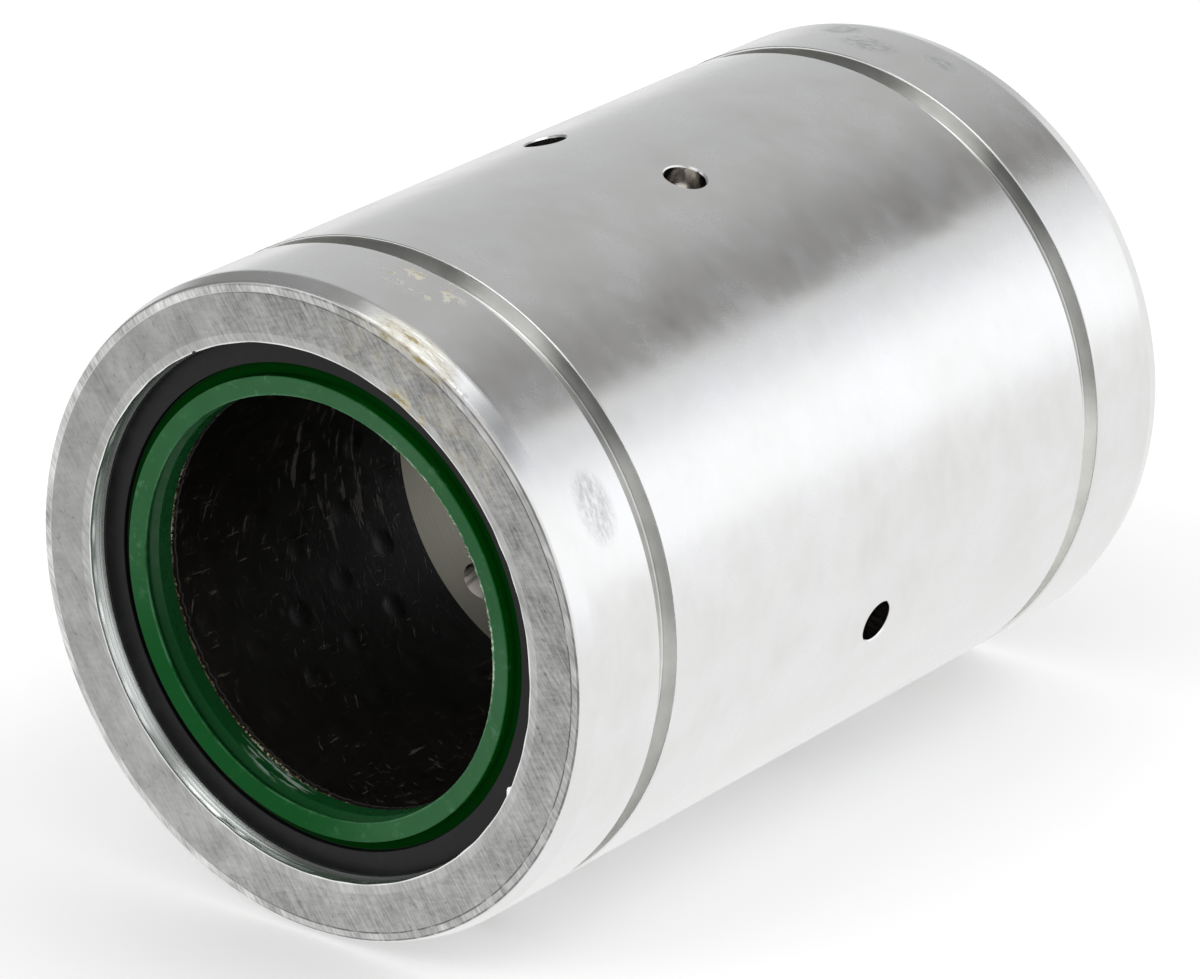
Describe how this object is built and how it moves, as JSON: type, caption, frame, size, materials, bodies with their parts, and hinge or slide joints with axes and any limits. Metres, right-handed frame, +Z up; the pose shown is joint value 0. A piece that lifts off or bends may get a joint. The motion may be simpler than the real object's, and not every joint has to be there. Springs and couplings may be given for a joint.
{
  "type": "linear plain bearing unit",
  "caption": "Closed cylindrical linear bearing: turned sleeve with pressed-in sliding bushes and lipped end seals that slides along a round shaft.",
  "frame": {"origin": "on the shaft axis at mid-length, which is the centre of the part", "axes": "+Y along the shaft axis from the front end to the rear end, +Z up with the sleeve lying on its side, +X to the right seen from the front"},
  "size_m": [0.047, 0.068, 0.047],
  "materials": {
    "turned_aluminium": "satin turned, bare",
    "bush_steel": "rolled strip, dull",
    "sintered_bronze": "sintered, porous, dull",
    "sliding_plastic": "smooth satin with shallow lubricant pockets",
    "seal_carrier_plastic": "moulded satin",
    "seal_elastomer": "smooth elastomer, slight sheen"
  },
  "bodies": {
    "root": {"housing_sleeve": "turned_aluminium", "front_bush_steel_back": "bush_steel", "rear_bush_steel_back": "bush_steel", "front_bush_bronze_layer": "sintered_bronze", "rear_bush_bronze_layer": "sintered_bronze", "front_bush_sliding_layer": "sliding_plastic", "rear_bush_sliding_layer": "sliding_plastic", "front_seal_carrier": "seal_carrier_plastic", "rear_seal_carrier": "seal_carrier_plastic", "front_seal_lip": "seal_elastomer", "rear_seal_lip": "seal_elastomer"}
  },
  "joints": []
}
